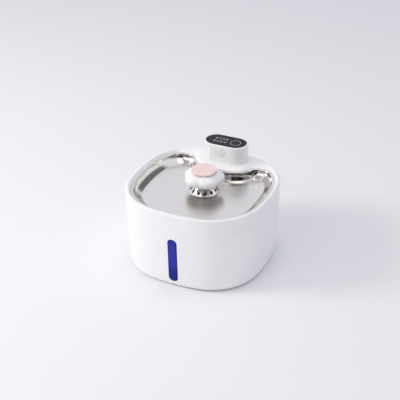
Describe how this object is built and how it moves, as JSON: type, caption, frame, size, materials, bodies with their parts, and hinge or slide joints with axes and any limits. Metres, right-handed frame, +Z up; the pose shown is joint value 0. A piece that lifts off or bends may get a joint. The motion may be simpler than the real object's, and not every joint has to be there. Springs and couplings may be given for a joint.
{
  "type": "pet water fountain",
  "caption": "Cordless pet drinking fountain with flower spout, steel tray, tank with lit level window, pump, filter and lift-out battery module.",
  "frame": {"origin": "centre of the object's footprint on the surface it stands on", "axes": "+Z up, -Y towards the front with the level window, +Y towards the control tower, +X to the right seen from the front"},
  "size_m": [0.19, 0.19, 0.132],
  "materials": {
    "white_abs": "moulded gloss",
    "window_blue": "clear blue, lit from inside",
    "seal_rubber": "matt silicone",
    "foot_rubber": "matt",
    "steel": "polished stainless",
    "pink_abs": "moulded satin",
    "clear_tube": "clear",
    "white_pp": "moulded satin",
    "filter_fibre": "non-woven cotton",
    "pump_grey": "moulded, potted",
    "light_lens": "lit blue",
    "impeller_white": "moulded",
    "ferrite": "sintered, coated",
    "ceramic_shaft": "ground ceramic",
    "black_foam": "open-cell foam",
    "lead_jacket": "smooth",
    "cell_wrap": "heat-shrink wrap",
    "board_green": "solder mask",
    "led_amber": "small lamps",
    "guide_white": "moulded",
    "spring_steel": "drawn wire",
    "panel_black": "high gloss",
    "lens_milky": "milky lens",
    "sensor_can": "plated",
    "port_steel": "drawn steel",
    "flap_rubber": "soft matt",
    "screw_steel": "zinc plated"
  },
  "bodies": {
    "tank": {"tank_shell": "white_abs", "level_window": "window_blue", "window_seal": "seal_rubber", "rubber_feet": "foot_rubber", "filter_stand": "white_pp", "filter_case": "white_pp", "filter_media": "filter_fibre", "pump_housing": "pump_grey", "pump_cover": "pump_grey", "pump_light": "light_lens", "rotor_shaft": "ceramic_shaft", "shaft_bushes": "seal_rubber", "intake_sponge": "black_foam", "suction_cups": "seal_rubber", "pump_lead": "lead_jacket", "lead_gland": "lead_jacket", "lead_plug": "lead_jacket"},
    "impeller": {"impeller": "impeller_white", "rotor_magnet": "ferrite"},
    "cover": {"top_cover": "white_abs"},
    "tray": {"drinking_tray": "steel"},
    "flower": {"flower_cap": "white_abs", "flower_centre": "pink_abs", "riser_tube": "clear_tube"},
    "module": {"module_shell": "white_abs", "module_base": "white_pp", "base_seal": "seal_rubber", "module_screws": "screw_steel", "lead_socket": "pump_grey", "battery_frame": "guide_white", "battery_cells": "cell_wrap", "circuit_board": "board_green", "indicator_leds": "led_amber", "light_guide": "guide_white", "touch_spring": "spring_steel", "display_panel": "panel_black", "sensor_lens": "lens_milky", "motion_sensor": "sensor_can", "usb_port": "port_steel"},
    "flap": {"port_flap": "flap_rubber"}
  },
  "joints": [
    {"name": "cover_lift", "type": "slide", "parent": "tank", "child": "cover", "axis": [0, 0, 1], "range_m": [0, 0.09]},
    {"name": "tray_lift", "type": "slide", "parent": "cover", "child": "tray", "axis": [0, 0, 1], "range_m": [0, 0.05]},
    {"name": "flower_lift", "type": "slide", "parent": "tray", "child": "flower", "axis": [0, 0, 1], "range_m": [0, 0.075]},
    {"name": "module_lift", "type": "slide", "parent": "cover", "child": "module", "axis": [0, 0, 1], "range_m": [0, 0.07]},
    {"name": "flap_open", "type": "hinge", "parent": "module", "child": "flap", "pos_m": [0, 0.0925, 0.1212], "axis": [1, 0, 0], "range_deg": [-110, 0]},
    {"name": "impeller_spin", "type": "hinge", "parent": "tank", "child": "impeller", "pos_m": [-0.009, 0.002, 0.021], "axis": [0, 1, 0], "continuous": true}
  ]
}
